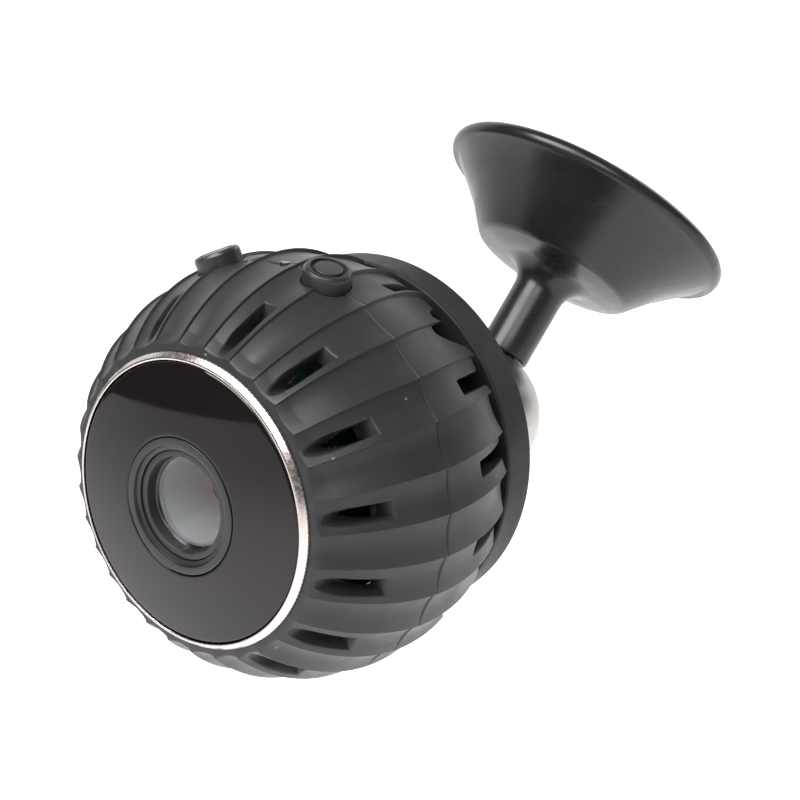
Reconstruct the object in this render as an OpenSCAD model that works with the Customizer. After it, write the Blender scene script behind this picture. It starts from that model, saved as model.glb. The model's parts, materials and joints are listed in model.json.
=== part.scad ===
// Ball-shaped dash camera on a magnetic trumpet stand.
// The camera looks along -Y and stands level, +Z is up, and the stand rises
// behind it. The origin is the centre of the stand's adhesive face.

/* [Camera ball] */
// Outer diameter of the camera ball
body_d = 43.6; // [42:0.2:46]
// Wall thickness of the two shells
wall = 1.8; // [1.4:0.1:2.0]
// Distance of the shell joint in front of the ball centre
seam_front = 3.1; // [2.8:0.1:3.4]
// Distance of the rear shell's flat end behind the ball centre
shell_end = 8.8; // [8.6:0.1:9.4]

// How far the camera is turned round its optical axis at rest, in degrees
rest_roll = 2; // [0:0.5:4]

/* [Ventilation slots] */
// Width of every slot
slot_w = 1.6; // [1.0:0.1:2.0]
// Depth of a front slot's rounded floor, as a radius from the optical axis
slot_floor_r = 16.0; // [15.6:0.1:16.6]
// Angle of the first front slot on each side of the top, in degrees
slot_first = 17.4; // [17:0.1:18]
// Spacing of the front slots round the ball, in degrees
slot_step = 23.2; // [22.8:0.1:23.4]

/* [Front face] */
// Outer diameter of the metal trim ring
ring_d = 29; // [28.8:0.1:29.4]
// Height of the glass dome over its rim
glass_rise = 1.2; // [1.0:0.05:1.3]
// Diameter of the lens bezel
bezel_d = 13.4; // [12.8:0.1:13.6]
// Diameter of the lens barrel
barrel_d = 10.8; // [10.4:0.1:11]

/* [Buttons] */
// Diameter of both buttons
button_d = 4.8; // [4.4:0.1:5.0]
// Travel of both buttons
button_travel = 0.4; // [0.3:0.05:0.45]
// Angle of the power button from the top of the ball, on the +X side
power_angle = 20.5; // [19.5:0.5:21]
// Angle of the mode button from the top of the ball, on the -X side
mode_angle = 16.5; // [16.5:0.5:18]

/* [Rear disc and socket] */
// Diameter of the rear disc
disc_d = 39.6; // [38:0.2:40]
// Thickness of the rear disc
disc_t = 4.4; // [4:0.1:4.8]
// Distance of the ball pivot behind the camera's centre
pivot_back = 32; // [32:0.5:33]
// How far the ball seat sits below the middle of the rear disc
seat_drop = 2.2; // [1.5:0.1:2.2]
// Diameter of the steel ball
ball_d = 17.2; // [16.8:0.1:17.4]

/* [Stand] */
// Angle between the neck and the optical axis
neck_angle = 54.1; // [35:0.1:70]
// Sideways lean of the neck round the optical axis
neck_lean = 17.4; // [0:0.1:25]
// Diameter of the neck
neck_d = 6.3; // [5.8:0.1:6.6]
// Diameter of the stand's rim
rim_d = 36.8; // [36:0.1:38]
// Distance from the ball's centre to the adhesive face
face_s = 30.4; // [30.2:0.1:31]

/* [Hidden] */
$fn = 72;

// Shells
shell_r = body_d / 2;
cavity_r = shell_r - wall;
seam_y = -seam_front;
opening_r = 13.2;
ring_seat_y = -15.0;
face_y = -15.4;
// Tongue on the rear shell that centres the front shell
tongue_in = 19.85;
tongue_out = 20.6;
tongue_len = 1.5;
lip_gap = 0.1;

// Front slots: fourteen, none at the top or at the bottom
front_slots = [for (k = [0 : 6]) slot_first + slot_step * k];
front_slot_y0 = -14.7;
front_slot_y1 = -9.2;
rear_slots = [31, 63.5, 85.5, 107.5];
rear_slot_y0 = 2.5;
rear_slot_floor = 17.5;
cut_top = 26;

// Shell screws
screw_angles = [44.5, 135.5];
screw_axis_r = 18.5;
pit_r = 2.8;
pit_floor_y = 2.3;
pit_wall = 1.0;
screw_r = 1.0;
head_r = 1.9;
head_t = 1.3;
boss_r = 2.1;
boss_y = -8.5;

// Front face
ring_r = ring_d / 2;
ring_in = 13.95;
ring_front_y = -16.15;
glass_r = 13.9;
glass_rim_y = -16.1;
glass_dome_r = (glass_r * glass_r + glass_rise * glass_rise) / (2 * glass_rise);
bezel_r = bezel_d / 2;
barrel_r = barrel_d / 2;
fit_gap = 0.05;

// Buttons and what they press
// Both buttons point at the ball's centre from the shell joint
button_tilt = asin(seam_front / shell_r);
button_r = button_d / 2;
button_hole_r = button_r + 0.15;
button_top = shell_r + 1.3;
flange_r = 2.85;
flange_bottom = 18.9;
flange_top = 19.5;
flex_in = 14.45;
flex_out = 15.05;
flex_half = 29;
switch_y = -2.4;
switch_top = 18.5 - button_travel;
pipe_angle = 6.5;
mic_angle = -3.5;

// Sockets along the bottom of the rear shell
card_y0 = 2.7;
card_t = 0.8;
card_gap = 0.3;
usb_y0 = -1.7;
usb_t = 2.7;

// Rear disc, socket and ball
disc_r = disc_d / 2;
disc_y0 = shell_end + 1;
foot_r = 15.0;
disc_y1 = disc_y0 + disc_t;
spigot_r = 7.5;
spigot_y = 6.2;
boss_foot_r = 12.6;
boss_end_r = 10.4;
boss_end_y = pivot_back - 5.4;
socket_r = 8.6;
socket_bore = socket_r + 0.06;
socket_y0 = pivot_back - 14.8;
socket_y1 = pivot_back - 4.7;
stem_r = 3.0;
stem_bore = stem_r + 0.06;
stem_y = 4.4;
clip_y0 = 5.05;
clip_y1 = 5.9;
ball_r = ball_d / 2;
seat_gap = 0.3;
ball_flat = ball_r - 0.5;

// Stand, measured along the neck from the ball's centre
neck_r = neck_d / 2;
neck_start = ball_flat + 0.3;
stud_r = 1.5;
fillet_r = 3.0;
shoulder_s = face_s - 10.5;
shoulder_r = 10.8;
rim_r = rim_d / 2;
rim_round = 1.1;
plate_r = 15.8;
plate_s = face_s - 3;
rim_face = face_s - 0.5;
neck_dir = [sin(neck_lean) * sin(neck_angle), cos(neck_angle), cos(neck_lean) * sin(neck_angle)];

// Colours
black = [0.07, 0.07, 0.075];
gloss_black = [0.03, 0.03, 0.035];
steel = [0.62, 0.60, 0.58];
rose_steel = [0.72, 0.67, 0.65];
green = [0.08, 0.25, 0.16];
gold = [0.78, 0.62, 0.30];
white = [0.85, 0.85, 0.83];
grey = [0.45, 0.45, 0.46];
clear = [0.6, 0.66, 0.7];

// ---- Placing helpers ----

// Everything on the camera, from the ball's own centre
module camera_frame() {
  translate([0, -pivot_back, seat_drop] - face_s * neck_dir)
    rotate([0, rest_roll, 0])
      children();
}

// The socket and its boss, on a line through the steel ball's centre
module socket_frame() {
  translate([0, -pivot_back, 0] - face_s * neck_dir)
    children();
}

// Everything on the stand: the steel ball's centre, +Z along the neck
module stand_frame() {
  translate(-face_s * neck_dir)
    rotate([0, neck_lean, 0])
      rotate([neck_angle - 90, 0, 0])
        children();
}

// Turns a profile of [radius, distance behind the centre] round the optical axis
module turned() {
  rotate([-90, 0, 0])
    rotate_extrude()
      children();
}

// A solid or hollow round bar on the optical axis
module tube(r_out, r_in, y0, y1) {
  turned()
    translate([r_in, y0])
      square([r_out - r_in, y1 - y0]);
}

// Half section of a plate whose front is a shallow dome
module dome_section(r_in, r_out, front, back, dome_r) {
  intersection() {
    translate([r_in, front])
      square([r_out - r_in, back - front]);
    translate([0, front + dome_r])
      circle(r = dome_r, $fn = 1800);
  }
}

// Stands +Z out of the ball at an angle from the top
module around(angle) {
  rotate([0, angle, 0])
    children();
}

// The two buttons: +Z points out of the ball along the button's travel
module button_frame(angle) {
  around(angle)
    rotate([button_tilt, 0, 0])
      children();
}

// A round post parallel to the optical axis
module post(angle, axis_r, r, y0, y1) {
  around(angle)
    translate([0, y0, axis_r])
      rotate([-90, 0, 0])
        cylinder(r = r, h = y1 - y0);
}

// ---- Shells ----

module ball_wall(y0, y1) {
  intersection() {
    difference() {
      sphere(r = shell_r);
      sphere(r = cavity_r);
    }
    tube(shell_r + 2, 0, y0, y1);
  }
}

module button_holes() {
  for (angle = [-mode_angle, power_angle])
    button_frame(angle)
      translate([0, 0, 17])
        cylinder(r = button_hole_r, h = 8);
}

module top_holes() {
  around(pipe_angle)
    translate([0, seam_y, 17])
      cylinder(r = 0.5, h = 8);
  around(mic_angle)
    translate([0, seam_y, 17])
      cylinder(r = 0.45, h = 8);
}

module front_shell() {
  color(black)
    camera_frame()
      difference() {
        union() {
          ball_wall(-shell_r, seam_y);
          intersection() {
            sphere(r = shell_r - 0.8);
            union() {
              for (a = screw_angles)
                for (side = [-1, 1])
                  post(side * a, screw_axis_r, boss_r, boss_y, seam_y);
            }
          }
        }
        tube(opening_r, 0, -shell_r, -12);
        tube(shell_r, 0, -shell_r - 1, face_y);
        tube(ring_r + fit_gap, 0, -shell_r, ring_seat_y);
        tube(tongue_out + lip_gap, 0, seam_y - tongue_len - lip_gap, seam_y + 1);
        for (a = front_slots)
          for (side = [-1, 1])
            around(side * a)
              translate([-slot_w / 2, front_slot_y0, slot_floor_r])
                cube([slot_w, front_slot_y1 - front_slot_y0, cut_top - slot_floor_r]);
        for (a = screw_angles)
          for (side = [-1, 1])
            post(side * a, screw_axis_r, screw_r, boss_y + 1, seam_y + 1);
        button_holes();
        top_holes();
      }
}

module rear_shell() {
  color(black)
    camera_frame()
      difference() {
        union() {
          ball_wall(seam_y, shell_end);
          tube(tongue_out, tongue_in, seam_y - tongue_len, seam_y + 0.4);
          intersection() {
            sphere(r = shell_r - 0.4);
            union() {
              tube(shell_r, spigot_r + lip_gap, shell_end - 1.6, shell_end);
              for (a = screw_angles)
                for (side = [-1, 1])
                  post(side * a, screw_axis_r, pit_r + pit_wall, seam_y, shell_end);
            }
          }
        }
        for (a = screw_angles)
          for (side = [-1, 1]) {
            post(side * a, screw_axis_r, pit_r, pit_floor_y, shell_end + 1);
            post(side * a, screw_axis_r, screw_r + 0.1, seam_y - 3, pit_floor_y + 1);
          }
        for (a = rear_slots)
          for (side = [-1, 1])
            around(side * a)
              translate([-slot_w / 2, rear_slot_y0, rear_slot_floor])
                cube([slot_w, shell_end - rear_slot_y0 + 1, cut_top - rear_slot_floor]);
        translate([-4.2, usb_y0 - 0.25, -cut_top])
          cube([8.4, usb_t + 0.5, cut_top - 17]);
        translate([-5.8, card_y0 - 0.3, -cut_top])
          cube([11.6, card_t + 0.6, cut_top - 17]);
        button_holes();
        top_holes();
      }
}

module shell_screws() {
  color(grey)
    camera_frame()
      for (a = screw_angles)
        for (side = [-1, 1]) {
          difference() {
            post(side * a, screw_axis_r, head_r, pit_floor_y, pit_floor_y + head_t);
            around(side * a)
              translate([-1.3, pit_floor_y + head_t - 0.6, screw_axis_r - 0.3])
                cube([2.6, 1, 0.6]);
            around(side * a)
              translate([-0.3, pit_floor_y + head_t - 0.6, screw_axis_r - 1.3])
                cube([0.6, 1, 2.6]);
          }
          post(side * a, screw_axis_r, screw_r - fit_gap, boss_y + 1.5, pit_floor_y);
        }
}

// ---- Front face and lens ----

module trim_ring() {
  color(rose_steel)
    camera_frame()
      turned()
        polygon([[ring_in, ring_seat_y], [ring_r, ring_seat_y], [ring_r, face_y - 0.1],
          [ring_in + 0.15, ring_front_y], [ring_in, ring_front_y]]);
}

module front_glass() {
  color(gloss_black)
    camera_frame()
      turned()
        dome_section(bezel_r + fit_gap, glass_r, glass_rim_y - glass_rise, ring_seat_y, glass_dome_r);
}

module lens_bezel() {
  color(black)
    camera_frame()
      difference() {
        tube(bezel_r, barrel_r + fit_gap, -17.1, -12.4);
        tube(barrel_r + 0.5, 0, -17.2, -16.8);
      }
}

module lens_barrel() {
  color(black)
    camera_frame()
      difference() {
        tube(barrel_r, 0, -16.5, -7.8);
        tube(4.7, 0, -17, -14.95);
        tube(4.45, 0, -15, -10.6);
        tube(2.55, 0, -10.7, -8.9);
        tube(2.1, 0, -9, -7);
      }
}

module front_lens() {
  color(clear)
    camera_frame()
      turned()
        dome_section(0, 4.65, -15.9, -15.0, 24);
}

module lens_cone() {
  color(grey)
    camera_frame()
      turned()
        polygon([[4.1, -14.9], [4.4, -14.9], [4.4, -10.65], [1.9, -10.65]]);
}

module rear_lens() {
  color(clear)
    camera_frame()
      intersection() {
        tube(2.5, 0, -10.55, -8.95);
        translate([0, -10.55 + 5, 0])
          sphere(r = 5);
      }
}

module lens_mount() {
  color(black)
    camera_frame()
      difference() {
        union() {
          tube(6.7, 0, -12.3, -6.2);
          translate([-7, -7.9, -7])
            cube([14, 1.7, 14]);
        }
        tube(barrel_r + fit_gap, 0, -13, -7.7);
        translate([-4.2, -7.8, -4.2])
          cube([8.4, 2, 8.4]);
      }
}

module image_sensor() {
  color([0.35, 0.12, 0.2])
    camera_frame()
      translate([-3, -6.95, -3])
        cube([6, 0.75, 6]);
}

module sensor_board() {
  color(green)
    camera_frame()
      tube(14.4, 0, -6.2, -5.2);
}

module led_board() {
  color(green)
    camera_frame()
      tube(13.3, 6.9, -13.9, -12.9);
}

module ir_leds() {
  color(clear)
    camera_frame()
      for (a = [30 : 60 : 330])
        intersection() {
          post(a, 10.2, 1.3, -14.9, -13.9);
          around(a)
            translate([0, -13.4, 10.2])
              sphere(r = 1.5);
        }
}

module light_sensor() {
  color(gold)
    camera_frame()
      post(0, 10.2, 0.9, -14.6, -13.9);
}

// ---- Inside the ball ----

module inner_frame() {
  color(grey)
    camera_frame()
      difference() {
        tube(14.4, 13.2, -5.2, 1.0);
        translate([-5, -3, -15])
          cube([10, 3, 3]);
      }
}

module battery() {
  color([0.70, 0.71, 0.74])
    camera_frame()
      translate([-10, -4.7, -8])
        cube([20, 4.4, 16]);
}

module main_board() {
  color(green)
    camera_frame()
      union() {
        tube(14.4, 0, 1.0, 2.2);
        translate([-6.5, 1.0, -18.3])
          cube([13, 1.2, 8]);
      }
}

module processor() {
  color(gloss_black)
    camera_frame()
      translate([-4.5, 2.2, -5])
        cube([9, 1.1, 8]);
}

module wifi_module() {
  color(steel)
    camera_frame()
      translate([-6, 2.2, 4])
        cube([12, 1.5, 8]);
}

module card_socket() {
  color(steel)
    camera_frame()
      difference() {
        translate([-6.9, 2.2, -17.9])
          cube([13.8, 2.3, 12.1]);
        translate([-5.8, card_y0 - card_gap, -19])
          cube([11.6, card_t + 2 * card_gap, 12.8]);
      }
}

module memory_card() {
  color(gloss_black)
    camera_frame()
      union() {
        translate([-5.5, card_y0, -21.5])
          cube([11, card_t, 15]);
        translate([-4, card_y0 - 0.15, -21.5])
          cube([8, 0.3, 0.8]);
      }
}

module usb_port() {
  color(steel)
    camera_frame()
      union() {
        difference() {
          translate([-3.95, usb_y0, -21.1])
            cube([7.9, usb_t, 5.3]);
          translate([-3.6, usb_y0 + 0.35, -22])
            cube([7.2, usb_t - 0.7, 5.6]);
        }
        translate([-2.6, usb_y0 + 1.3, -20.3])
          cube([5.2, 0.7, 4.2]);
      }
}

// A curved strip that carries the switches under the top of the ball
module switch_flex() {
  color([0.75, 0.5, 0.1])
    camera_frame()
      rotate([-90, 0, 0])
        rotate([0, 0, -90 - flex_half])
          rotate_extrude(angle = 2 * flex_half)
            translate([flex_in, -4.7])
              square([flex_out - flex_in, 4.8]);
}

module tact_switches() {
  color(steel)
    camera_frame()
      for (angle = [-mode_angle, power_angle])
        around(angle)
          translate([0, switch_y, 0]) {
            translate([-2, -2, flex_out])
              cube([4, 4, 1.6]);
            translate([0, 0, flex_out + 1.6])
              cylinder(r = 1.1, h = switch_top - flex_out - 1.6);
          }
}

module microphone() {
  color(gold)
    camera_frame()
      around(mic_angle)
        translate([0, seam_y, flex_out])
          cylinder(r = 0.9, h = 1.1);
}

module status_led() {
  color(white)
    camera_frame()
      around(pipe_angle)
        translate([-0.6, seam_y - 0.4, flex_out])
          cube([1.2, 0.8, 0.6]);
}

module light_pipe() {
  color(clear)
    camera_frame()
      around(pipe_angle)
        translate([0, seam_y, cavity_r - 0.1])
          cylinder(r = 0.45, h = wall - 0.1);
}

module button(angle) {
  button_frame(angle)
      difference() {
        union() {
          translate([0, 0, flange_bottom])
            cylinder(r = flange_r, h = flange_top - flange_bottom);
          translate([0, 0, flange_bottom])
            cylinder(r = button_r, h = button_top - flange_bottom);
        }
        translate([0, 0, button_top - 0.35])
          difference() {
            cylinder(r = 1.75, h = 1);
            cylinder(r = 1.4, h = 1);
          }
      }
}

module power_button() {
  color(black)
    camera_frame()
      button(power_angle);
}

module mode_button() {
  color(black)
    camera_frame()
      button(-mode_angle);
}

// ---- Rear disc and magnetic socket ----

module rear_disc() {
  color(black)
    difference() {
      union() {
        camera_frame()
          turned()
            polygon([[0, spigot_y], [spigot_r, spigot_y], [spigot_r, shell_end],
              [foot_r, shell_end], [foot_r, disc_y0],
              [disc_r - 0.3, disc_y0], [disc_r, disc_y0 + 0.3], [disc_r, disc_y1 - 0.3],
              [disc_r - 0.3, disc_y1], [0, disc_y1]]);
        socket_frame()
          turned()
            polygon([[0, disc_y1 - 1], [boss_foot_r, disc_y1 - 1], [boss_foot_r, disc_y1],
              [boss_end_r, boss_end_y], [0, boss_end_y]]);
      }
      socket_frame()
        tube(stem_bore, 0, spigot_y - 1, boss_end_y);
      socket_frame()
        tube(socket_bore, 0, socket_y0 - 0.3, boss_end_y + 1);
    }
}

module disc_nut() {
  color(steel)
    camera_frame()
      tube(9.6, spigot_r + fit_gap, spigot_y + 0.1, shell_end - 1.65);
}

module socket_cup() {
  color(gloss_black)
    socket_frame()
      difference() {
        union() {
          tube(socket_r, 0, socket_y0, socket_y1);
          tube(stem_r, 0, stem_y, socket_y0 + 1);
        }
        translate([0, pivot_back, 0])
          sphere(r = ball_r + seat_gap);
        tube(5.0, 0, socket_y0 + 1.4, socket_y1);
        tube(stem_r + 1, 2.35, clip_y0 - 0.05, clip_y1 + 0.05);
      }
}

module seat_magnet() {
  color(steel)
    socket_frame()
      tube(4.95, 0, socket_y0 + 1.45, pivot_back - ball_r - 0.8);
}

module retaining_clip() {
  color(steel)
    socket_frame()
      tube(5.0, 2.4, clip_y0, clip_y1);
}

// ---- Stand ----

module steel_ball() {
  color(steel)
    stand_frame()
      difference() {
        sphere(r = ball_r);
        translate([0, 0, ball_flat])
          cylinder(r = ball_r, h = 2);
        translate([0, 0, 1])
          cylinder(r = stud_r + 0.05, h = ball_r);
      }
}

module ball_stud() {
  color(steel)
    stand_frame()
      translate([0, 0, 1.3])
        cylinder(r = stud_r, h = 12);
}

// Half section of the stand: neck, fillet, shoulder, cone and rounded rim
module stand_profile() {
  difference() {
    union() {
      translate([0, neck_start])
        square([neck_r + fillet_r, shoulder_s - neck_start]);
      polygon([[0, shoulder_s], [neck_r + fillet_r, shoulder_s], [9.3, shoulder_s + 0.5],
        [shoulder_r - 0.1, shoulder_s + 1.6], [rim_r - 0.3, rim_face - 1.8],
        [rim_r - rim_round, rim_face], [0, rim_face]]);
      translate([shoulder_r - 1.5, shoulder_s + 2.0])
        circle(r = 1.5);
      translate([rim_r - rim_round, rim_face - rim_round])
        circle(r = rim_round);
    }
    translate([neck_r + fillet_r, shoulder_s - fillet_r])
      circle(r = fillet_r);
    translate([neck_r, neck_start - 1])
      square([fillet_r + 2, shoulder_s - fillet_r - neck_start + 1]);
    translate([0, neck_start - 1])
      square([stud_r + 0.05, 6.1]);
    translate([0, plate_s - 0.1])
      square([plate_r + 0.1, 6]);
  }
}

module stand() {
  color(black)
    stand_frame()
      rotate_extrude()
        stand_profile();
}

module base_disc() {
  color(steel)
    stand_frame()
      translate([0, 0, plate_s])
        cylinder(r = plate_r, h = 1.8);
}

module adhesive_pad() {
  color(grey)
    stand_frame()
      translate([0, 0, plate_s + 1.85])
        cylinder(r = plate_r - 0.1, h = face_s - plate_s - 1.85);
}

front_shell();
rear_shell();
trim_ring();
front_glass();
lens_bezel();
lens_barrel();
front_lens();
lens_cone();
rear_lens();
lens_mount();
image_sensor();
sensor_board();
led_board();
ir_leds();
light_sensor();
inner_frame();
battery();
main_board();
processor();
wifi_module();
card_socket();
memory_card();
usb_port();
switch_flex();
tact_switches();
microphone();
status_led();
light_pipe();
power_button();
mode_button();
shell_screws();
rear_disc();
disc_nut();
socket_cup();
seat_magnet();
retaining_clip();
steel_ball();
ball_stud();
stand();
base_disc();
adhesive_pad();
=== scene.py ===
import json
import math

import bmesh
import bpy
from mathutils import Matrix, Vector


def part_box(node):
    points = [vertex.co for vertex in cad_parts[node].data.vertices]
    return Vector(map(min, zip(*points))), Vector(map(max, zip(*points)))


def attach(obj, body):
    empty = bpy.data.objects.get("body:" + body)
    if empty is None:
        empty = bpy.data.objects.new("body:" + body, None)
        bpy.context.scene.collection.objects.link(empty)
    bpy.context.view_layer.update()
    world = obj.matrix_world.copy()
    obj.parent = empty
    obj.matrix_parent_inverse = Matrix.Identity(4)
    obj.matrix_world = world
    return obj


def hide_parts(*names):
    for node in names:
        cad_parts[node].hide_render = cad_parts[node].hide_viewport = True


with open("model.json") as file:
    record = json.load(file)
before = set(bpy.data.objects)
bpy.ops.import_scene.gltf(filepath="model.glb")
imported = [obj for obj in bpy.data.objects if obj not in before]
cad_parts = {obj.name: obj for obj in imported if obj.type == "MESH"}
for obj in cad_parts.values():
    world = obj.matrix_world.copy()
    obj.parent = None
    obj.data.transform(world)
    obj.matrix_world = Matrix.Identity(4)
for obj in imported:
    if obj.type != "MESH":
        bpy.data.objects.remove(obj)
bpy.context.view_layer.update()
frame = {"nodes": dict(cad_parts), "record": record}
record = frame["record"]
nodes = frame["nodes"]

MM = 0.001

# ---------------------------------------------------------------- the frame
# The camera ball's centre, from the CAD: the rear disc gives x and z, and the
# front shell's rear edge is the seam.
SEAM = -3.1
ROLL = math.radians(2.0)
disc_lo, disc_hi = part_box("rear_disc")
shell_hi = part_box("front_shell")[1]
CENTRE = Vector(((disc_lo[0] + disc_hi[0]) / 2, shell_hi[1] - SEAM * MM, (disc_lo[2] + disc_hi[2]) / 2))
joint = {j["name"]: j for j in record["behaviour"]["joints"]}
PIVOT = Vector(joint["ball_tilt"]["pos_m"])
NECK = Vector(joint["neck_swivel"]["axis"]).normalized()
PIVOT_BACK = (PIVOT.y - CENTRE.y) / MM

# Everything on the camera is modelled in mm from its own centre, and everything
# on the stand in mm from the steel ball, +Z along the neck. The socket's frame
# runs through the steel ball, a little below the camera's axis.
TO_CAMERA = Matrix.Translation(CENTRE) @ Matrix.Rotation(ROLL, 4, "Y") @ Matrix.Scale(MM, 4)
TO_SOCKET = Matrix.Translation(PIVOT - Vector((0, PIVOT_BACK * MM, 0))) @ Matrix.Scale(MM, 4)
side = Vector((0, 0, 1)).cross(NECK).normalized()
ahead = NECK.cross(side).normalized()
TO_STAND = Matrix.Translation(PIVOT) @ Matrix((
    (side.x, ahead.x, NECK.x, 0), (side.y, ahead.y, NECK.y, 0),
    (side.z, ahead.z, NECK.z, 0), (0, 0, 0, 1))) @ Matrix.Scale(MM, 4)


# ---------------------------------------------------------------- materials
def link(tree, a, b):
    tree.links.new(a, b)


def new_material(name):
    """A new node material, with its tree, its shader and the object's own coordinates."""
    m = bpy.data.materials.new(name)
    m.use_nodes = True
    tree = m.node_tree
    shader = next(n for n in tree.nodes if n.type == "BSDF_PRINCIPLED")
    coord = tree.nodes.new("ShaderNodeTexCoord")
    return m, tree, shader, coord.outputs["Object"]


def noise(tree, at, scale, detail=3.0, rough=0.55, stretch=None):
    n = tree.nodes.new("ShaderNodeTexNoise")
    n.inputs["Scale"].default_value = scale
    n.inputs["Detail"].default_value = detail
    n.inputs["Roughness"].default_value = rough
    if stretch:
        mp = tree.nodes.new("ShaderNodeMapping")
        mp.inputs["Scale"].default_value = stretch
        link(tree, at, mp.inputs["Vector"])
        link(tree, mp.outputs["Vector"], n.inputs["Vector"])
    else:
        link(tree, at, n.inputs["Vector"])
    return n.outputs["Fac"]


def spread(tree, fac, low, high, a=0.35, b=0.65):
    """Stretches a noise to run from low to high."""
    r = tree.nodes.new("ShaderNodeMapRange")
    r.inputs["From Min"].default_value = a
    r.inputs["From Max"].default_value = b
    r.inputs["To Min"].default_value = low
    r.inputs["To Max"].default_value = high
    link(tree, fac, r.inputs["Value"])
    return r.outputs["Result"]


def blend_colour(tree, fac, low, high, a=0.35, b=0.65):
    r = tree.nodes.new("ShaderNodeValToRGB")
    r.color_ramp.elements[0].position = a
    r.color_ramp.elements[1].position = b
    r.color_ramp.elements[0].color = (*low, 1)
    r.color_ramp.elements[1].color = (*high, 1)
    link(tree, fac, r.inputs["Fac"])
    return r.outputs["Color"]


def bump(tree, shader, height, strength, distance, before=None):
    b = tree.nodes.new("ShaderNodeBump")
    b.inputs["Strength"].default_value = strength
    b.inputs["Distance"].default_value = distance
    link(tree, height, b.inputs["Height"])
    if before is not None:
        link(tree, before, b.inputs["Normal"])
    link(tree, b.outputs["Normal"], shader.inputs["Normal"])
    return b.outputs["Normal"]


def specks(tree, at, colour, scale, size, dust):
    """Sparse pale specks of dust over a colour."""
    v = tree.nodes.new("ShaderNodeTexVoronoi")
    v.inputs["Scale"].default_value = scale
    link(tree, at, v.inputs["Vector"])
    near = tree.nodes.new("ShaderNodeMath")
    near.operation = "LESS_THAN"
    near.inputs[1].default_value = size
    link(tree, v.outputs["Distance"], near.inputs[0])
    few = tree.nodes.new("ShaderNodeMath")
    few.operation = "GREATER_THAN"
    few.inputs[1].default_value = 0.62
    link(tree, noise(tree, at, scale * 0.31, 1.0), few.inputs[0])
    both = tree.nodes.new("ShaderNodeMath")
    both.operation = "MULTIPLY"
    link(tree, near.outputs[0], both.inputs[0])
    link(tree, few.outputs[0], both.inputs[1])
    mix = tree.nodes.new("ShaderNodeMix")
    mix.data_type = "RGBA"
    link(tree, both.outputs[0], mix.inputs["Factor"])
    link(tree, colour, mix.inputs[6])
    mix.inputs[7].default_value = (*dust, 1)
    return mix.outputs[2]


def plastic(name, low, high, rough, grain=0.25, grain_scale=5200, dust=None, spec=0.5):
    """Moulded plastic: fine spark grain, slow colour and gloss changes, some dust."""
    m, t, s, at = new_material(name)
    slow = noise(t, at, 95, 4.0)
    colour = blend_colour(t, slow, low, high)
    if dust:
        colour = specks(t, at, colour, 620, 0.085, dust)
    link(t, colour, s.inputs["Base Color"])
    link(t, spread(t, noise(t, at, 260, 4.0), rough - 0.05, rough + 0.06), s.inputs["Roughness"])
    fine = noise(t, at, grain_scale, 2.0, 0.6)
    first = bump(t, s, fine, grain, 0.00004)
    bump(t, s, noise(t, at, 170, 2.0), 0.05, 0.0003, first)
    s.inputs["Specular IOR Level"].default_value = spec
    return m


def metal(name, low, high, rough, stretch=(1, 1, 1), scale=1500, strength=0.12):
    """Bare metal with a fine brushed grain and slow changes of tone."""
    m, t, s, at = new_material(name)
    s.inputs["Metallic"].default_value = 1.0
    slow = noise(t, at, 130, 3.0)
    link(t, blend_colour(t, slow, low, high), s.inputs["Base Color"])
    brushed = noise(t, at, scale, 3.0, 0.6, stretch)
    link(t, spread(t, brushed, rough - 0.06, rough + 0.08), s.inputs["Roughness"])
    bump(t, s, brushed, strength, 0.00003)
    return m


shell_black = plastic(
    "shell_black_mat", (0.021, 0.021, 0.022), (0.027, 0.027, 0.0285), 0.42, 0.3, 5200,
    (0.14, 0.14, 0.14), spec=0.3)
button_black = plastic("button_black_mat", (0.018, 0.018, 0.020), (0.024, 0.024, 0.026), 0.36, 0.18, 5200)
disc_black = plastic(
    "disc_black_mat", (0.011, 0.011, 0.012), (0.015, 0.015, 0.016), 0.52, 0.35, 4200,
    (0.12, 0.12, 0.12), spec=0.22)
stand_black = plastic(
    "stand_black_mat", (0.010, 0.010, 0.011), (0.014, 0.014, 0.015), 0.27, 0.08, 3600, spec=0.36)
lens_black = plastic("lens_black_mat", (0.010, 0.010, 0.011), (0.016, 0.016, 0.017), 0.38, 0.15, 5200)
lens_grey = plastic("lens_grey_mat", (0.20, 0.20, 0.20), (0.27, 0.27, 0.265), 0.34, 0.2, 3600)
frame_grey = plastic("frame_grey_mat", (0.030, 0.030, 0.032), (0.04, 0.04, 0.043), 0.55, 0.3)
socket_black = plastic("socket_black_mat", (0.014, 0.014, 0.015), (0.02, 0.02, 0.021), 0.3, 0.1)
pad_grey = plastic("pad_grey_mat", (0.035, 0.035, 0.038), (0.06, 0.06, 0.064), 0.8, 0.6, 1800)
chip_black = plastic("chip_black_mat", (0.015, 0.015, 0.016), (0.022, 0.022, 0.023), 0.5, 0.3)
card_black = plastic("card_black_mat", (0.014, 0.014, 0.016), (0.02, 0.02, 0.022), 0.35, 0.12)
board_green = plastic("board_green_mat", (0.010, 0.045, 0.022), (0.016, 0.065, 0.032), 0.3, 0.25, 1500)
sensor_red = plastic("sensor_red_mat", (0.45, 0.03, 0.06), (0.65, 0.07, 0.10), 0.15, 0.05, 2600)
flex_amber = plastic("flex_amber_mat", (0.28, 0.13, 0.02), (0.40, 0.2, 0.035), 0.35, 0.1)
led_white = plastic("led_white_mat", (0.62, 0.62, 0.58), (0.75, 0.75, 0.70), 0.3, 0.1)
foil = metal("battery_foil_mat", (0.58, 0.59, 0.62), (0.66, 0.67, 0.7), 0.35)
shield = metal("shield_steel_mat", (0.52, 0.51, 0.5), (0.6, 0.6, 0.58), 0.32)
gold = metal("gold_part_mat", (0.7, 0.5, 0.22), (0.8, 0.6, 0.3), 0.3)
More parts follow.
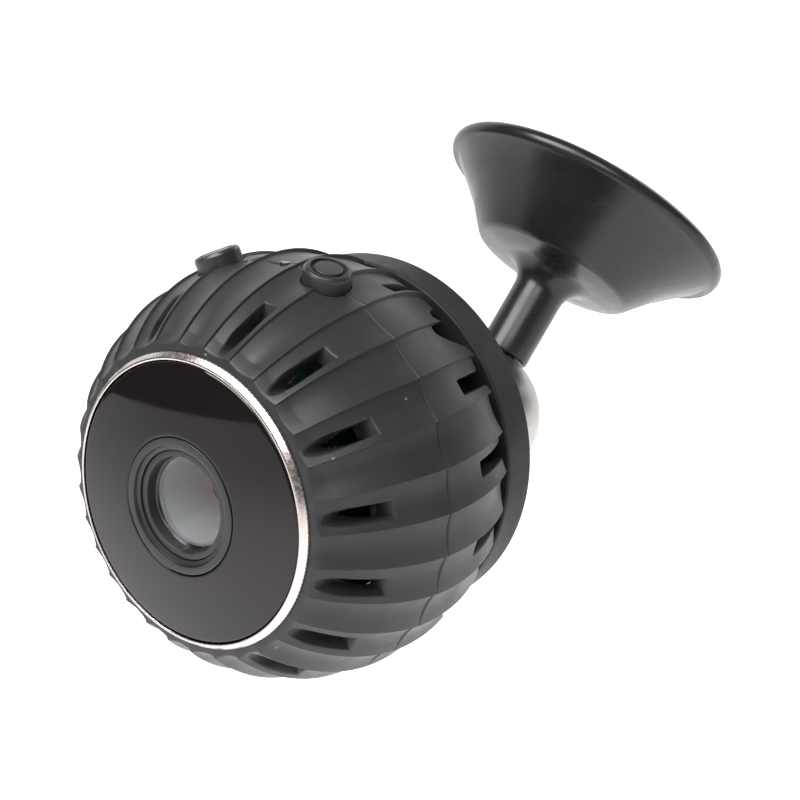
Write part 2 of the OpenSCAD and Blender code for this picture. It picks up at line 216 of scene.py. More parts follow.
magnet = metal("magnet_nickel_mat", (0.62, 0.6, 0.57), (0.7, 0.68, 0.65), 0.2)
screw_black = metal("screw_black_mat", (0.05, 0.05, 0.052), (0.09, 0.09, 0.092), 0.38)
ball_steel = metal("ball_steel_mat", (0.41, 0.39, 0.38), (0.48, 0.455, 0.445), 0.36, (1, 1, 1), 1700, 0.16)
trim_metal = metal("trim_metal_mat", (0.56, 0.49, 0.47), (0.68, 0.60, 0.58), 0.24, (1, 1, 1), 2600, 0.3)


def clear_glass(name, tint, rough, ior=1.5):
    """Clear glass or resin with a slight tint."""
    m, t, s, at = new_material(name)
    deeper = tuple(c * 0.96 for c in tint)
    link(t, blend_colour(t, noise(t, at, 60, 2.0), tint, deeper), s.inputs["Base Color"])
    link(t, spread(t, noise(t, at, 320, 3.0), rough, rough + 0.03), s.inputs["Roughness"])
    bump(t, s, noise(t, at, 900, 2.0), 0.02, 0.00002)
    s.inputs["Transmission Weight"].default_value = 1.0
    s.inputs["IOR"].default_value = ior
    return m


# A low index weakens the lens's reflections, as a coating does, and its inside shows
lens_glass = clear_glass("lens_glass_mat", (0.93, 0.95, 0.97), 0.0, 1.24)
led_clear = clear_glass("led_clear_mat", (0.9, 0.92, 0.95), 0.08)

# Deep black, slightly warm panel with a polished face
front_panel, t, s, at = new_material("front_panel_mat")
panel_colour = blend_colour(t, noise(t, at, 70, 3.0), (0.0045, 0.0032, 0.0032), (0.007, 0.005, 0.005))
link(t, panel_colour, s.inputs["Base Color"])
link(t, spread(t, noise(t, at, 380, 4.0), 0.03, 0.075), s.inputs["Roughness"])
bump(t, s, noise(t, at, 55, 1.0), 0.03, 0.0002)
s.inputs["Specular IOR Level"].default_value = 0.38
s.inputs["Specular Tint"].default_value = (1.0, 0.93, 0.94, 1.0)

BY_SLOT = {
    "shell_black": shell_black, "trim_metal": trim_metal, "front_panel": front_panel,
    "lens_black": lens_black,
    "lens_glass": lens_glass, "lens_grey": lens_grey, "sensor_red": sensor_red,
    "board_green": board_green,
    "led_clear": led_clear, "led_white": led_white, "gold_part": gold, "frame_grey": frame_grey,
    "battery_foil": foil, "chip_black": chip_black, "shield_steel": shield, "card_black": card_black,
    "flex_amber": flex_amber, "button_black": button_black, "screw_black": screw_black,
    "disc_black": disc_black, "socket_black": socket_black, "magnet_nickel": magnet,
    "ball_steel": ball_steel, "stand_black": stand_black, "pad_grey": pad_grey,
}
slot_of = {p["node"]: p["material_slot"] for p in record["subparts"]}

# The rear lens glows weakly in pink: a painted highlight, which stands in for light on its coating
pink_painted_highlight = plastic("pink_painted_highlight_mat", (0.42, 0.05, 0.10), (0.55, 0.10, 0.16), 0.12, 0.05, 2600)
pink = pink_painted_highlight.node_tree.nodes["Principled BSDF"]
# Emission here is painted light on the lens coating, not a lamp
pink.inputs["Emission Color"].default_value = (0.75, 0.10, 0.17, 1)
pink.inputs["Emission Strength"].default_value = 0.9
for name, obj in nodes.items():
    for ms in obj.material_slots:
        ms.material = pink_painted_highlight if name == "rear_lens" else BY_SLOT[slot_of[name]]


# ---------------------------------------------------------------- mesh helpers
def finish_mesh(name, bm, material, body, node, place, sharp=40.0, weighted=True):
    """Turns a bmesh in mm into a piece of the object, in metres, in the frame."""
    bmesh.ops.recalc_face_normals(bm, faces=bm.faces)
    bm.transform(place)
    for f in bm.faces:
        f.smooth = True
    limit = math.radians(sharp)
    for e in bm.edges:
        if len(e.link_faces) == 2 and e.calc_face_angle(0.0) > limit:
            e.smooth = False
    me = bpy.data.meshes.new(name)
    bm.to_mesh(me)
    bm.free()
    me.materials.append(material)
    ob = bpy.data.objects.new(name, me)
    bpy.context.scene.collection.objects.link(ob)
    if weighted:
        w = ob.modifiers.new("weighted", "WEIGHTED_NORMAL")
        w.keep_sharp = True
        w.weight = 80
    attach(ob, body)
    if node:
        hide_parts(node)
    return ob


def rounded(points, steps=5):
    """A closed outline of (r, z, radius): each corner becomes an arc."""
    out = []
    n = len(points)
    for i, (x, y, rad) in enumerate(points):
        if rad <= 0:
            out.append((x, y))
            continue
        p = Vector((x, y))
        a = Vector(points[i - 1][:2]) - p
        b = Vector(points[(i + 1) % n][:2]) - p
        la, lb = a.length, b.length
        a.normalize()
        b.normalize()
        half = math.acos(max(-1.0, min(1.0, a.dot(b)))) / 2
        if abs(half - math.pi / 2) < 1e-3:
            out.append((x, y))
            continue
        cut = min(rad / math.tan(half), 0.49 * la, 0.49 * lb)
        r = cut * math.tan(half)
        mid = (a + b).normalized()
        c = p + mid * (r / math.sin(half))
        s0 = p + a * cut - c
        s1 = p + b * cut - c
        a0 = math.atan2(s0.y, s0.x)
        da = math.atan2(s1.y, s1.x) - a0
        while da > math.pi:
            da -= 2 * math.pi
        while da < -math.pi:
            da += 2 * math.pi
        for k in range(steps + 1):
            ang = a0 + da * k / steps
            out.append((c.x + r * math.cos(ang), c.y + r * math.sin(ang)))
    return out


def lathe(outline, segs=192, along_y=True):
    """Turns a closed outline of (r, z) round its axis. The axis is +Y on the camera, +Z on the stand."""
    bm = bmesh.new()
    rings = []
    for r, z in outline:
        if r < 1e-6:
            co = (0, z, 0) if along_y else (0, 0, z)
            rings.append([bm.verts.new(co)])
            continue
        ring = []
        for k in range(segs):
            a = 2 * math.pi * k / segs
            co = (r * math.sin(a), z, r * math.cos(a)) if along_y else (r * math.cos(a), r * math.sin(a), z)
            ring.append(bm.verts.new(co))
        rings.append(ring)
    n = len(rings)
    for i in range(n):
        p, q = rings[i], rings[(i + 1) % n]
        if len(p) == 1 and len(q) == 1:
            continue
        for k in range(segs):
            j = (k + 1) % segs
            if len(p) == 1:
                bm.faces.new((p[0], q[j], q[k]))
            elif len(q) == 1:
                bm.faces.new((p[k], p[j], q[0]))
            else:
                bm.faces.new((p[k], p[j], q[j], q[k]))
    return bm


def turned_piece(name, outline, material, body, node, segs=192, along_y=True, sharp=40.0):
    """A lathed piece on the camera's axis or, with along_y off, on the stand's."""
    bm = lathe(outline, segs, along_y)
    return finish_mesh(name, bm, material, body, node, TO_CAMERA if along_y else TO_STAND, sharp)


def arc(cx, cy, r, a0, a1, steps):
    """Points on an arc from angle a0 to a1, in degrees."""
    return [(cx + r * math.cos(math.radians(a0 + (a1 - a0) * k / steps)),
             cy + r * math.sin(math.radians(a0 + (a1 - a0) * k / steps))) for k in range(steps + 1)]


# ---------------------------------------------------------------- fluted shells
RIDGE_R = 22.0
INNER_R = 20.0
PANELS = 31
PANEL = 360.0 / PANELS
FIRST_RIDGE = -1.15
SLOT_HALF = 0.8
FLOOR_TOP = 17.45
FLOOR_DEEP = 1.85
FRONT_SLOTS = [s * (17.4 + 23.2 * k) for k in range(7) for s in (1, -1)]
REAR_SLOTS = [30.5, -31.0, 63.5, -63.5, 85.5, -85.5, 107.5, -109.0]
SLOT_END = -9.2
REAR_SLOT_START = 2.5
SHELL_END = 8.8
WALL_FRONT = 7.2
WALL_R = 17.5
FACE_Y = -15.4
HAIR = 1e-6
SHELL_SHARP = 38
SLOT_AT = 0.6
SLOT_SAG = 0.4
FADE_FROM, FADE_LENGTH, FADE = -14.2, 1.2, 0.45

# A panel's profile: a short steep step at its ridge, then a hollow to the next
STEP = 0.022
FRONT_STEP = 0.26
FRONT_HOLLOW = 0.44
REAR_STEP = 0.22
REAR_STEP_GROWTH = 0.28
REAR_HOLLOW = 0.30
REAR_LEAN = -0.16
LIP = 0.11
LIP_REACH = 0.15


def flute_front(c):
    """Depth of a front panel under its ridges, c from 0 to 1 going clockwise."""
    if c < STEP:
        return FRONT_STEP * (c / STEP)
    u = (c - STEP) / (1 - STEP)
    return FRONT_STEP * (1 - u) + FRONT_HOLLOW * math.sin(math.pi * u) * (1 - 0.25 * u)


def flute_rear(c, y):
    """The rear panels step the same way, and the step grows towards the disc."""
    grow = (y - SEAM) / (SHELL_END - SEAM)
    u = c / STEP if c < STEP else 1 - (c - STEP) / (1 - STEP)
    return (REAR_STEP + REAR_STEP_GROWTH * grow) * u + REAR_HOLLOW * math.sin(math.pi * c)


def surface(c, y, rear):
    """Radius of the fluted surface about the camera's axis."""
    d = flute_rear(c, y) if rear else flute_front(c)
    if not rear:
        d *= 1.0 - FADE * max(0.0, (FADE_FROM - y) / FADE_LENGTH)
    rho = RIDGE_R - d
    return math.sqrt(rho * rho - y * y)


def floor_r(u):
    """Radius of a front slot's rounded floor, u mm off its middle."""
    return FLOOR_TOP - FLOOR_DEEP * math.sqrt(max(0.0, 1 - (u / SLOT_HALF) ** 2))


def slot_half(y, rear):
    """Half the slot's width at y, where its round floor meets the surface."""
    if rear:
        return SLOT_HALF
    r = surface(SLOT_AT, y, False)
    if r >= FLOOR_TOP:
        return SLOT_HALF
    k = (FLOOR_TOP - r) / FLOOR_DEEP
    return 0.0 if k >= 1 else SLOT_HALF * math.sqrt(1 - k * k)


# Places of the mesh's columns across a panel, a slot's inside and its rim
PLAIN_COLS = [0.0, STEP, 0.06, 0.12, 0.2, 0.3, 0.4, 0.5, 0.6, 0.7, 0.8, 0.88, 0.94, 0.975, 0.99]
INSIDE = [0.0, 0.3, 0.55, 0.75, 0.9, 0.975, 1.0]
RIM = [0.012, 0.05, 0.12, 0.2]
RIM_DROP = [0.11, 0.045, 0.008, 0.0]
SIDE_COLS = [0.0, STEP, 0.1, 0.28, 0.5, 0.75, 0.93]


def columns(slotted):
    """(kind, value) for each column of one panel, from its first ridge towards the next."""
    if not slotted:
        return [("c", c) for c in PLAIN_COLS]
    cols = [("left", c) for c in SIDE_COLS]
    cols += [("rim", -k) for k in range(len(RIM), 0, -1)]
    cols += [("in", -t) for t in reversed(INSIDE)]
    cols += [("in", t) for t in INSIDE[1:]]
    cols += [("rim", k) for k in range(1, len(RIM) + 1)]
    cols += [("right", c) for c in (0.1, 0.3, 0.5, 0.7, 0.85, 0.94, 0.98)]
    return cols


def shell_rows(rear):
    """The mesh's rows along the axis, close together where an edge is rounded."""
    def span(a, b, n):
        return [a + (b - a) * k / n for k in range(n)]
    if rear:
        ys = [SEAM, SEAM + 0.03, SEAM + 0.09] + span(SEAM + 0.16, REAR_SLOT_START - 0.2, 16)
        ys += [REAR_SLOT_START - d for d in (0.2, 0.12, 0.05, 0.012)]
        ys += [REAR_SLOT_START] + span(REAR_SLOT_START + 0.3, WALL_FRONT, 12)
        ys += [WALL_FRONT, WALL_FRONT + 0.03] + span(WALL_FRONT + 0.3, SHELL_END - 0.14, 4)
        ys += [SHELL_END - 0.14, SHELL_END - 0.05, SHELL_END]
        return ys
    ys = [FACE_Y, FACE_Y + 0.02, FACE_Y + 0.06] + span(FACE_Y + 0.12, -14.8, 6)
    ys += span(-14.8, -12.4, 26) + span(-12.4, SLOT_END, 14)
    ys += [SLOT_END] + [SLOT_END + d for d in (0.012, 0.05, 0.12, 0.2)]
    ys += span(SLOT_END + 0.5, SEAM - 0.16, 18) + [SEAM - 0.16, SEAM - 0.09, SEAM - 0.03, SEAM]
    return ys


def edge_drop(y, rear):
    """Rounding at the seam and at the shell's outer ends."""
    d = abs(y - SEAM)
    drop = 0.0 if d > 0.12 else 0.09 * (1 - d / 0.12) ** 2
    if rear and SHELL_END - y < 0.15:
        drop += 0.12 * (1 - (SHELL_END - y) / 0.15) ** 2
    if not rear and y - FACE_Y < 0.12:
        drop += 0.08 * (1 - (y - FACE_Y) / 0.12) ** 2
    return drop


def inner_r(y, rear):
    """Radius of the shell's inside, with the rear shell's back wall."""
    if rear and y >= WALL_FRONT + HAIR:
        return WALL_R
    return math.sqrt(INNER_R ** 2 - y * y)


def panel_columns(slots):
    """Every column of the shell: its panel's first ridge, the slot's middle, its kind and place."""
    cols = []
    for k in range(PANELS):
        start = FIRST_RIDGE + PANEL * (k - PANELS // 2)
        here = [a for a in slots if start < a < start + PANEL]
        mid = here[0] if here else None
        cols += [(start, mid, kind, v) for kind, v in columns(mid is not None)]
    return cols


def panel_place(start, mid, kind, v, wide):
    """Place across the panel, from 0 to 1, of a column that is outside the slot and its rim."""
    if kind == "left":
        edge = (mid - start - wide) / PANEL
        return v if v <= STEP else STEP + (edge - STEP) * (v - STEP) / (1 - STEP)
    if kind == "right":
        edge = (mid - start + wide) / PANEL
        return edge + (1 - edge) * v
    return v


def slot_point(start, mid, kind, v, y, rear):
    """Angle, radius and openness of a point in a slot or on its rim."""
    half = slot_half(y, rear)
    base = math.sqrt(RIDGE_R ** 2 - y * y) - SLOT_SAG
    if kind == "rim":
        i = abs(v) - 1
        u = math.copysign(half + RIM[i], v)
    else:
        u = v * half
    ang = mid + math.degrees(u / base)
    r = surface((ang - start) / PANEL, y, rear)
    r_in = inner_r(y, rear)
    off = (REAR_SLOT_START - y) if rear else (y - SLOT_END)
    through = off <= HAIR
    opened = False
    if kind == "rim" and half > 0.02:
        if through:
            r -= RIM_DROP[i]
        else:
            r -= LIP * max(0.0, 1 - math.hypot(off, RIM[i]) / LIP_REACH) ** 2
    elif kind == "in" and through and half > 0.0:
        if rear:
            f = r_in
            opened = y < WALL_FRONT + HAIR
        else:
            f = floor_r(u) if half >= SLOT_HALF else min(floor_r(u), r)
            opened = f <= r_in + HAIR
        r = max(f, r_in)
    elif kind == "in" and not through:
        r -= LIP * max(0.0, 1 - off / LIP_REACH) ** 2
    return ang, r, opened


def shell_mesh(rear):
    """A fluted half shell as one closed grid, left open where a slot goes through."""
    ys = shell_rows(rear)
    cols = panel_columns(REAR_SLOTS if rear else FRONT_SLOTS)
    bm = bmesh.new()
    outer, inner, open_at = [], [], []
    for y in ys:
        row_o, row_i, row_open = [], [], []
        r_in = inner_r(y, rear)
        turn = REAR_LEAN * (y - SEAM) if rear else 0.0
        base = math.sqrt(RIDGE_R ** 2 - y * y) - SLOT_SAG
        wide = math.degrees((slot_half(y, rear) + RIM[-1]) / base)
        for start, mid, kind, v in cols:
            if kind in ("rim", "in"):
                ang, r, opened = slot_point(start, mid, kind, v, y, rear)
            else:
                c = panel_place(start, mid, kind, v, wide)
                ang, r, opened = start + PANEL * c, surface(c, y, rear), False
            if not opened:
                r -= edge_drop(y, rear)
            a = math.radians(ang + turn)
            row_o.append(bm.verts.new((r * math.sin(a), y, r * math.cos(a))))
            row_i.append(bm.verts.new((r_in * math.sin(a), y, r_in * math.cos(a))))
            row_open.append(opened)
        outer.append(row_o)
        inner.append(row_i)
        open_at.append(row_open)
    n = len(cols)
    for i in range(len(ys) - 1):
        for k in range(n):
            j = (k + 1) % n
            if open_at[i][k] and open_at[i][j] and open_at[i + 1][k] and open_at[i + 1][j]:
                continue
            bm.faces.new((outer[i][k], outer[i][j], outer[i + 1][j], outer[i + 1][k]))
            bm.faces.new((inner[i][k], inner[i + 1][k], inner[i + 1][j], inner[i][j]))
    for i in (0, len(ys) - 1):
        for k in range(n):
            j = (k + 1) % n
            if open_at[i][k] and open_at[i][j]:
                continue
            if i == 0:
                bm.faces.new((outer[i][k], inner[i][k], inner[i][j], outer[i][j]))
            else:
                bm.faces.new((outer[i][k], outer[i][j], inner[i][j], inner[i][k]))
    bmesh.ops.remove_doubles(bm, verts=bm.verts, dist=1e-5)
    bmesh.ops.dissolve_degenerate(bm, edges=bm.edges, dist=1e-5)
    return bm


# Openings in the shells. Angles go round the camera's axis from the top.
POWER_ANGLE = 20.5
MODE_ANGLE = -16.5
SHELL_R = 21.8
BUTTON_TILT = math.asin(-SEAM / SHELL_R)
PIT_ANGLES = (44.5, -44.5, 135.5, -135.5)
PIT_AXIS_R = 18.5
PIT_R = 2.8
PIT_FLOOR_Y = 2.3
BUTTON_HOLE_R = 2.52
SEAM_HOLES = ((6.5, 0.5), (-3.5, 0.47))
USB_OPENING = ((-4.2, -1.95, -26), (4.2, 1.25, -17))
CARD_OPENING = ((-5.8, 2.4, -26), (5.8, 3.8, -17))
HOLE_FROM, HOLE_TO = 17, 25


def around(angle):
    """Turns +Z by an angle round the camera's axis."""
    return Matrix.Rotation(math.radians(angle), 4, "Y")


def button_frame(angle):
    """A button's own axis is +Z and points away from the ball's centre."""
    return around(angle) @ Matrix.Rotation(BUTTON_TILT, 4, "X")


def joined(parts):
    """One bmesh from several, each put in its place in the frame."""
    bm = bmesh.new()
    for part, place in parts:
        part.transform(place)
        me = bpy.data.meshes.new("part")
        part.to_mesh(me)
        part.free()
        bm.from_mesh(me)
        bpy.data.meshes.remove(me)
    return bm


def rod(r, z0, z1, segs, m):
    """A cutting rod along m's own z."""
    bm = bmesh.new()
    bmesh.ops.create_cone(bm, cap_ends=True, segments=segs, radius1=r, radius2=r, depth=z1 - z0)
    bm.transform(m @ Matrix.Translation((0, 0, (z0 + z1) / 2)))
    return bm


def block(lo, hi):
    """A cutting block between two corners."""
    bm = bmesh.new()
    bmesh.ops.create_cube(bm, size=1)
    lo, hi = Vector(lo), Vector(hi)
    size = hi - lo
    bm.transform(Matrix.Translation((lo + hi) / 2) @ Matrix.Diagonal((size.x, size.y, size.z, 1)))
    return bm


def cut(ob, parts):
    """Takes closed meshes, in mm on the camera, away from a piece and marks the new edges."""
    bm = joined([(part, TO_CAMERA) for part in parts])
    shape = bpy.data.meshes.new(ob.name + "_cutter")
    bm.to_mesh(shape)
    bm.free()
    tool = bpy.data.objects.new(shape.name, shape)
    bpy.context.scene.collection.objects.link(tool)
    mod = ob.modifiers.new("cut", "BOOLEAN")
    mod.operation = "DIFFERENCE"
    mod.solver = "EXACT"
    mod.object = tool
    dep = bpy.context.evaluated_depsgraph_get()
    me = bpy.data.meshes.new_from_object(ob.evaluated_get(dep))
    ob.modifiers.remove(mod)
    old = ob.data
    ob.data = me
    me.name = ob.name
    bpy.data.meshes.remove(old)
    bm = bmesh.new()
    bm.from_mesh(me)
    limit = math.radians(SHELL_SHARP)
    for f in bm.faces:
        f.smooth = True
    for e in bm.edges:
        e.smooth = not (len(e.link_faces) == 2 and e.calc_face_angle(0.0) > limit)
    bm.to_mesh(me)
    bm.free()
    bpy.data.objects.remove(tool)
    bpy.data.meshes.remove(shape)


def shell_piece(name, rear, node):
    """A fluted shell with the holes for its buttons, ports and screws cut in."""
    bm = shell_mesh(rear)
    ob = finish_mesh(name, bm, shell_black, "camera", node, TO_CAMERA, SHELL_SHARP, False)
    parts = []
    for a in (POWER_ANGLE, MODE_ANGLE):
        parts.append(rod(BUTTON_HOLE_R, HOLE_FROM, HOLE_TO, 72, button_frame(a)))
    for a, r in SEAM_HOLES:
        parts.append(rod(r, HOLE_FROM, HOLE_TO, 24, around(a) @ Matrix.Translation((0, SEAM, 0))))
    if rear:
        parts.append(block(*USB_OPENING))
        parts.append(block(*CARD_OPENING))
        lying = Matrix.Rotation(math.radians(-90), 4, "X")
        for a in PIT_ANGLES:
            place = around(a) @ Matrix.Translation((0, 0, PIT_AXIS_R)) @ lying
            parts.append(rod(PIT_R, PIT_FLOOR_Y, 12, 64, place))
    cut(ob, parts)


shell_piece("front_shell_fluted", False, "front_shell")
shell_piece("rear_shell_fluted", True, "rear_shell")

# ---------------------------------------------------------------- front face
RING_SEAT = -15.0
RING_SEGS = 420
KNURL_OUT, KNURL_IN = 0.035, -0.02
ring = lathe(rounded([
    (13.95, RING_SEAT, 0.0), (14.5, RING_SEAT, 0.0), (14.5, -15.43, 0.0), (14.64, -15.46, 0.02),
    (14.6, -15.66, 0.08), (14.22, -16.1, 0.06), (14.08, -16.16, 0.04), (13.95, -16.14, 0.03)], 4), RING_SEGS)
for v in ring.verts:
    reach = math.hypot(v.co.x, v.co.z)
    if -16.05 < v.co.y < -15.5 and reach > 14.1:
        turn = round(math.atan2(v.co.x, v.co.z) / (2 * math.pi) * RING_SEGS)
        grow = 1 + (KNURL_OUT if turn % 2 else KNURL_IN) / reach
        v.co.x *= grow
        v.co.z *= grow
finish_mesh("trim_ring_turned", ring, trim_metal, "camera", "trim_ring", TO_CAMERA, 30)

GLASS_R = 13.88
GLASS_HOLE = 6.95
GLASS_RISE = 0.88
glass = [(6.78, RING_SEAT), (GLASS_R, RING_SEAT)]
glass += [(GLASS_R, -15.75)] + arc(GLASS_R - 0.42, -15.75, 0.42, 0, -78, 10)
x1, y1 = glass[-1]
for k in range(1, 25):
    f = k / 24
    r = x1 + (GLASS_HOLE - x1) * f
    out = (r * r - GLASS_HOLE ** 2) / (x1 * x1 - GLASS_HOLE ** 2)
    glass.append((r, y1 - GLASS_RISE * (1 - out)))
glass += [(6.83, y1 - 0.86), (6.78, y1 - 0.78)]
turned_piece("front_glass_polished", glass, front_panel, "camera", "front_glass", 256, True, 60)

BZ = -17.1
turned_piece("lens_bezel_turned", rounded([
    (5.46, -12.4, 0.05), (5.46, BZ + 0.42, 0.03), (5.85, BZ + 0.36, 0.05), (5.95, BZ, 0.09),
    (6.7, BZ, 0.1), (6.7, -12.4, 0.05)], 5), lens_black, "camera", "lens_bezel", 192)

turned_piece("lens_barrel_turned", rounded([
    (0.9, -7.8, 0.0), (5.4, -7.8, 0.05), (5.4, -16.5, 0.08), (4.78, -16.5, 0.08),
    (4.7, -16.2, 0.0), (4.7, -14.96, 0.0), (4.45, -14.95, 0.03), (4.45, -10.6, 0.0),
    (2.55, -10.6, 0.0), (2.55, -8.95, 0.0), (2.1, -8.9, 0.0), (2.1, -8.6, 0.0), (0.9, -8.6, 0.0)], 4),
    lens_black, "camera", "lens_barrel", 192)

turned_piece("front_lens_ground", [(0, -15.0), (4.64, -15.0), (4.64, -15.42)] +
    [(4.55 * (1 - k / 16), -15.46 - 0.42 * (1 - (1 - k / 16) ** 2)) for k in range(17)],
    lens_glass, "camera", "front_lens", 128, True, 60)

# The cone inside the lens, gently waved round its axis so that light streaks on it
CONE_WAVE = 0.028
cone = lathe(rounded([
    (4.42, -14.92, 0.0), (4.42, -10.68, 0.0), (1.95, -10.68, 0.06), (2.05, -10.9, 0.05), (2.5, -11.7, 0.0),
    (3.05, -12.7, 0.0), (3.6, -13.75, 0.0), (4.12, -14.92, 0.05)], 3), 192)
for v in cone.verts:
    reach = math.hypot(v.co.x, v.co.z)
    if reach < 4.3 and -14.8 < v.co.y < -10.75:
        turn = math.atan2(v.co.x, v.co.z)
        wave = math.sin(7 * turn + 0.6) + 0.7 * math.sin(11 * turn + 2.1) + 0.4 * math.sin(18 * turn)
        grow = 1 + CONE_WAVE * wave / reach
        v.co.x *= grow
        v.co.z *= grow
finish_mesh("lens_cone_turned", cone, lens_grey, "camera", "lens_cone", TO_CAMERA, 60)

# ---------------------------------------------------------------- buttons
def button(name, angle, node, body):
    """A push button with a raised middle inside a ring groove."""
    outline = rounded([
        (0, 18.9, 0), (2.83, 18.9, 0.05), (2.83, 19.48, 0.05), (2.4, 19.5, 0.0), (2.4, 22.7, 0.25),
        (2.2, 23.02, 0.2), (1.82, 23.1, 0.08), (1.76, 22.68, 0.05), (1.44, 22.68, 0.05),
        (1.38, 23.06, 0.1), (0, 23.02, 0)], 5)
    bm = lathe(outline, 128, False)
    bm.transform(button_frame(angle))
    return finish_mesh(name, bm, button_black, body, node, TO_CAMERA, 50)


button("power_button_moulded", POWER_ANGLE, "power_button", "power_button")
button("mode_button_moulded", MODE_ANGLE, "mode_button", "mode_button")

# ---------------------------------------------------------------- rear disc, socket and ball
DISC_FRONT, DISC_BACK = 9.8, 14.2
plate = lathe(rounded([
    (0, 6.2, 0), (7.5, 6.2, 0.1), (7.5, SHELL_END, 0.0), (15.0, SHELL_END, 0.0),
    (15.0, DISC_FRONT, 0.0), (19.8, DISC_FRONT, 0.3), (19.8, DISC_BACK, 0.45), (0, DISC_BACK, 0)], 6), 256)
boss = lathe(rounded([
    (12.7, DISC_BACK - 0.3, 0.0), (12.45, DISC_BACK + 0.5, 0.4), (10.4, 26.6, 0.35),
    (8.66, 26.6, 0.12), (8.66, 16.9, 0.05), (3.06, 16.9, 0.0), (3.06, DISC_BACK - 0.3, 0.0)], 6), 256)
finish_mesh(
    "rear_disc_turned", joined([(plate, TO_CAMERA), (boss, TO_SOCKET)]), disc_black, "camera", "rear_disc",
    Matrix.Identity(4))

seat_r = 8.9
seat = []
for k in range(25):
    a = math.radians(34.2 + (58.1 - 34.2) * k / 24)
    seat.append((seat_r * math.sin(a), PIVOT_BACK - seat_r * math.cos(a)))
cup = rounded([
    (0, 4.4, 0), (3.0, 4.4, 0.12), (3.0, 5.0, 0.0), (2.35, 5.0, 0.0), (2.35, 5.95, 0.0), (3.0, 5.95, 0.0),
    (3.0, 17.2, 0.0), (8.6, 17.2, 0.1), (8.6, PIVOT_BACK - 4.7, 0.2)], 4)
cup += list(reversed(seat)) + [(5.0, 18.6), (0, 18.6)]
finish_mesh("socket_cup_turned", lathe(cup, 192), socket_black, "socket", "socket_cup", TO_SOCKET)

BALL_R = 8.6
ball = [(BALL_R * math.sin(math.radians(a)), -BALL_R * math.cos(math.radians(a))) for a in range(0, 159, 2)]
ball += [(3.0, 8.04), (2.8, 8.1), (1.55, 8.1), (1.55, 1.0), (0, 1.0)]
turned_piece("steel_ball_turned", ball, ball_steel, "ball", "steel_ball", 192, False, 30)

# ---------------------------------------------------------------- stand
# The neck, a fillet, the shoulder, the flared cone and the rim
body = [(1.55, 8.4), (2.85, 8.4)] + arc(2.88, 8.67, 0.27, -90, 0, 4)
body += [(3.15, 10.5), (3.15, 13.5), (3.16, 16.0)]
body += arc(6.15, 16.9, 2.98, 176, 92, 20)
body += [(7.3, 19.98), (8.4, 20.2)]
body += arc(9.25, 21.9, 1.55, -78, -43, 10)
body += [(12.6, 23.55), (15.4, 26.2), (17.3, 27.95)]
body += arc(17.3, 28.8, 1.1, -46, 90, 16)
body += [(16.3, 29.85), (15.95, 29.7), (15.9, 27.35), (1.55, 27.35)]
turned_piece("stand_turned", body, stand_black, "stand", "stand", 256, False, 50)

turned_piece(
    "base_disc_turned", rounded([(0, 27.4, 0), (15.8, 27.4, 0.1), (15.8, 29.2, 0.1), (0, 29.2, 0)], 3),
    shield, "stand", "base_disc", 128, False)
turned_piece(
    "adhesive_pad_cut", rounded([(0, 29.25, 0), (15.7, 29.25, 0.1), (15.7, 30.4, 0.12), (0, 30.4, 0)], 3),
    pad_grey, "stand", "adhesive_pad", 192, False)

# ---------------------------------------------------------------- studio
# Where the view is taken from, in mm from the ball's centre, and how it is turned
CAMERA_AT = Vector((98.274, -112.75, 40.986))
right = Vector((0.8067, 0.5889, -0.0501))
up = Vector((-0.0953, 0.2133, 0.9723))
look = Vector((-0.5835, 0.7796, -0.2282))

# The floor runs away from the camera and curves up into a wall
FLOOR_DROP = 0.16
FLOOR_NEAR, FLOOR_FAR, FLOOR_SIDE = 1.6, -1.2, 3.0
COVE_R, WALL_TOP = 0.7, 2.6
ground = bpy.data.meshes.new("floor")
fz = CENTRE.z - FLOOR_DROP
b = bmesh.new()
prof = [(FLOOR_NEAR, fz), (FLOOR_FAR, fz)]
for a in range(10, 91, 10):
    turn = math.radians(a)
    prof.append((FLOOR_FAR - COVE_R * math.sin(turn), fz + COVE_R * (1 - math.cos(turn))))
prof.append((FLOOR_FAR - COVE_R, fz + WALL_TOP))
vs = []
d = Vector((-look.x, -look.y, 0)).normalized()
sd = Vector((d.y, -d.x, 0))
for w in (-FLOOR_SIDE, FLOOR_SIDE):
    vs.append([b.verts.new(Vector((0, 0, z)) + d * q + sd * w) for q, z in prof])
for i in range(len(prof) - 1):
    b.faces.new((vs[0][i], vs[0][i + 1], vs[1][i + 1], vs[1][i]))
b.to_mesh(ground)
b.free()
floor = bpy.data.objects.new("floor", ground)
bpy.context.scene.collection.objects.link(floor)
floor_mat, t, s, at = new_material("floor_mat")
s.inputs["Emission Color"].default_value = (1, 1, 1, 1)
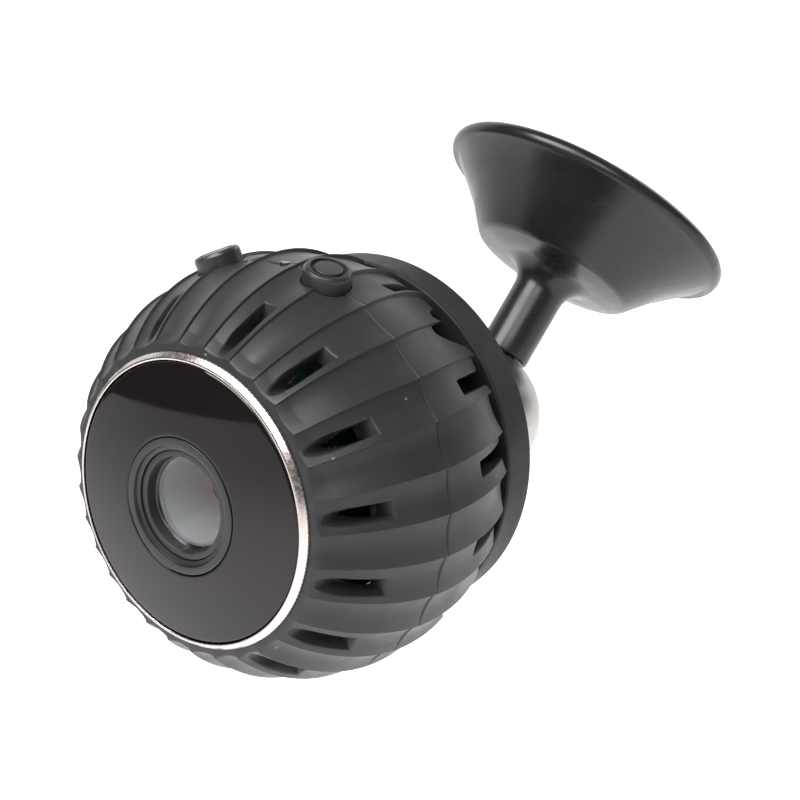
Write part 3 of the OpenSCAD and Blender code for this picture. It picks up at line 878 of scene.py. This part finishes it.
s.inputs["Emission Strength"].default_value = 0.82
link(t, blend_colour(t, noise(t, at, 3, 2.0), (0.90, 0.90, 0.90), (0.92, 0.92, 0.92)), s.inputs["Base Color"])
link(t, spread(t, noise(t, at, 9, 2.0), 0.75, 0.85), s.inputs["Roughness"])
ground.materials.append(floor_mat)


def area(name, direction, distance, size, power):
    """A square soft light that points at the camera ball."""
    data = bpy.data.lights.new(name, "AREA")
    data.energy = power
    data.size = size
    ob = bpy.data.objects.new(name, data)
    bpy.context.scene.collection.objects.link(ob)
    where = CENTRE + Vector(direction).normalized() * distance
    ob.location = where
    ob.rotation_euler = (CENTRE - where).to_track_quat("-Z", "Y").to_euler()
    return ob


area("key", (-0.1, -0.7, 1.0), 0.55, 0.34, 4.6)
area("side", (0.7, -0.8, 0.9), 0.7, 0.3, 1.9)
area("back", (0.3, 1.0, 0.5), 0.7, 0.4, 0.8)

world = bpy.data.worlds.new("studio")
bpy.context.scene.world = world
world.use_nodes = True
bg = world.node_tree.nodes["Background"]
bg.inputs["Color"].default_value = (1, 1, 1, 1)
# White where the camera sees it, and dim as a light, which leaves dark reflections
seen = world.node_tree.nodes.new("ShaderNodeLightPath")
level = world.node_tree.nodes.new("ShaderNodeMapRange")
level.inputs["To Min"].default_value = 0.13
level.inputs["To Max"].default_value = 1.0
world.node_tree.links.new(seen.outputs["Is Camera Ray"], level.inputs["Value"])
world.node_tree.links.new(level.outputs["Result"], bg.inputs["Strength"])
bpy.context.scene.view_settings.view_transform = "Standard"

# ---------------------------------------------------------------- camera
cam_data = bpy.data.cameras.new("camera_view")
cam = bpy.data.objects.new("camera_view", cam_data)
bpy.context.scene.collection.objects.link(cam)
cam_data.lens = 67.5
cam_data.sensor_width = 36.0
cam_data.clip_start = 0.005
cam.matrix_world = Matrix.Translation(CENTRE + CAMERA_AT * MM) @ Matrix((
    (right.x, up.x, -look.x, 0), (right.y, up.y, -look.y, 0), (right.z, up.z, -look.z, 0), (0, 0, 0, 1)))
bpy.context.scene.camera = cam
